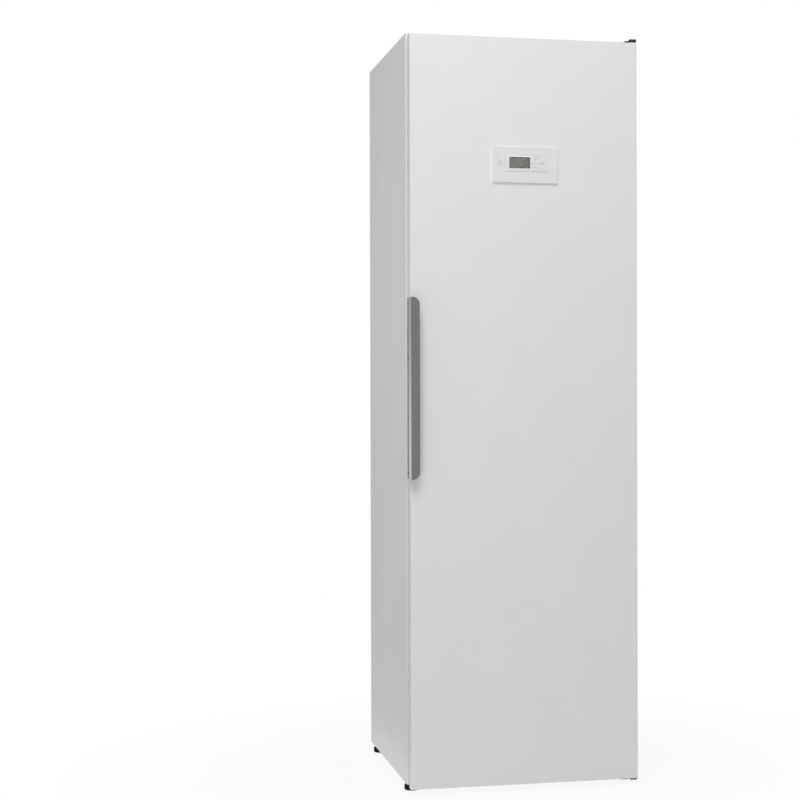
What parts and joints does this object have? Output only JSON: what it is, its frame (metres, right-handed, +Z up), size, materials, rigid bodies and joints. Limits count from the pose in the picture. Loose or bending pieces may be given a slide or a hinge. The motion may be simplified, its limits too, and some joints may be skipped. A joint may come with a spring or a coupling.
{
  "type": "drying cabinet",
  "caption": "Tall free-standing drying cabinet: full-height door on right-hand pins, angled edge handle, raised control plate, folding wire racks and a heat pump on top.",
  "frame": {"origin": "middle of the footprint at floor level, the handle's front face included", "axes": "+Z up, -Y out of the door, +X to the right as seen from the front"},
  "size_m": [0.595, 0.638, 1.9012],
  "materials": {
    "white_powder_coat": "satin",
    "galvanised_sheet": "satin",
    "white_liner": "satin",
    "door_liner": "satin",
    "rigid_foam": "matte",
    "white_wire": "satin",
    "grey_plastic": "satin",
    "pale_plastic": "satin",
    "compressor_paint": "satin",
    "black_rubber": "matte",
    "coil_fins": "satin",
    "copper": "satin",
    "motor_dark": "satin",
    "fan_plastic": "satin",
    "bright_steel": "satin",
    "dark_steel": "satin",
    "hinge_black": "satin",
    "black_plastic": "satin",
    "gasket": "matte",
    "handle_grey": "satin",
    "control_white": "satin",
    "display_glass": "gloss",
    "board_green": "satin"
  },
  "bodies": {
    "cabinet": {"left_side_panel": "white_powder_coat", "right_side_panel": "white_powder_coat", "top_panel": "white_powder_coat", "front_rails": "white_powder_coat", "service_panel": "white_powder_coat", "base_tray": "galvanised_sheet", "rear_panel": "galvanised_sheet", "machine_deck": "galvanised_sheet", "chamber_liner": "white_liner", "chamber_back_wall": "white_liner", "chamber_floor": "white_liner", "chamber_ceiling": "white_liner", "wall_insulation": "rigid_foam", "top_rack": "white_wire", "shoe_grid": "white_wire", "rack_brackets": "grey_plastic", "condensate_tray": "grey_plastic", "drain_spigot": "grey_plastic", "fan_housing": "grey_plastic", "control_unit": "grey_plastic", "air_tunnel": "pale_plastic", "humidity_sensor": "pale_plastic", "compressor": "compressor_paint", "compressor_mounts": "black_rubber", "evaporator_coil": "coil_fins", "condenser_coil": "coil_fins", "refrigerant_pipes": "copper", "filter_drier": "copper", "fan_motor": "motor_dark", "hinge_pins": "bright_steel", "hinge_screws": "bright_steel", "panel_screws": "bright_steel", "top_hinge_bracket": "hinge_black", "bottom_hinge_bracket": "hinge_black", "cable_gland": "black_plastic"},
    "middle_rack": {"middle_rack": "white_wire"},
    "lower_rack": {"lower_rack": "white_wire"},
    "lint_filter": {"lint_filter": "pale_plastic"},
    "fan": {"fan_shaft": "bright_steel", "fan_wheel": "fan_plastic"},
    "door": {"door_front_panel": "white_powder_coat", "door_inner_panel": "door_liner", "door_core": "rigid_foam", "door_gasket": "gasket", "door_bushes": "pale_plastic", "door_handle": "handle_grey", "handle_screws": "dark_steel", "control_plate": "control_white", "display_module": "control_white", "display_window": "display_glass", "control_board": "board_green", "glove_rack": "white_wire"},
    "key_power": {"key_power": "control_white"},
    "key_up": {"key_up": "control_white"},
    "key_down": {"key_down": "control_white"},
    "key_start": {"key_start": "control_white"},
    "foot_front_left": {"foot_front_left": "black_plastic"},
    "foot_front_right": {"foot_front_right": "black_plastic"},
    "foot_rear_left": {"foot_rear_left": "black_plastic"},
    "foot_rear_right": {"foot_rear_right": "black_plastic"}
  },
  "joints": [
    {"name": "door_hinge", "type": "hinge", "parent": "cabinet", "child": "door", "pos_m": [0.2845, -0.277, 0.95], "axis": [0, 0, 1], "range_deg": [0, 115]},
    {"name": "middle_rack_fold", "type": "hinge", "parent": "cabinet", "child": "middle_rack", "pos_m": [0, 0.2406, 0.9602], "axis": [-1, 0, 0], "range_deg": [0, 88]},
    {"name": "lower_rack_fold", "type": "hinge", "parent": "cabinet", "child": "lower_rack", "pos_m": [0, 0.2406, 0.5002], "axis": [-1, 0, 0], "range_deg": [0, 88]},
    {"name": "lint_filter_slide", "type": "slide", "parent": "cabinet", "child": "lint_filter", "axis": [0, -1, 0], "range_m": [0, 0.11]},
    {"name": "fan_spin", "type": "hinge", "parent": "cabinet", "child": "fan", "pos_m": [0.06, 0.219, 1.621], "axis": [0, -1, 0], "continuous": true},
    {"name": "key_power_press", "type": "slide", "parent": "door", "child": "key_power", "axis": [0, 1, 0], "range_m": [0, 0.0008], "stiffness_N_per_m": 600},
    {"name": "key_up_press", "type": "slide", "parent": "door", "child": "key_up", "axis": [0, 1, 0], "range_m": [0, 0.0008], "stiffness_N_per_m": 600},
    {"name": "key_down_press", "type": "slide", "parent": "door", "child": "key_down", "axis": [0, 1, 0], "range_m": [0, 0.0008], "stiffness_N_per_m": 600},
    {"name": "key_start_press", "type": "slide", "parent": "door", "child": "key_start", "axis": [0, 1, 0], "range_m": [0, 0.0008], "stiffness_N_per_m": 600},
    {"name": "foot_front_left_screw", "type": "slide", "parent": "cabinet", "child": "foot_front_left", "axis": [0, 0, -1], "range_m": [0, 0.015]},
    {"name": "foot_front_right_screw", "type": "slide", "parent": "cabinet", "child": "foot_front_right", "axis": [0, 0, -1], "range_m": [0, 0.015]},
    {"name": "foot_rear_left_screw", "type": "slide", "parent": "cabinet", "child": "foot_rear_left", "axis": [0, 0, -1], "range_m": [0, 0.015]},
    {"name": "foot_rear_right_screw", "type": "slide", "parent": "cabinet", "child": "foot_rear_right", "axis": [0, 0, -1], "range_m": [0, 0.015]}
  ]
}
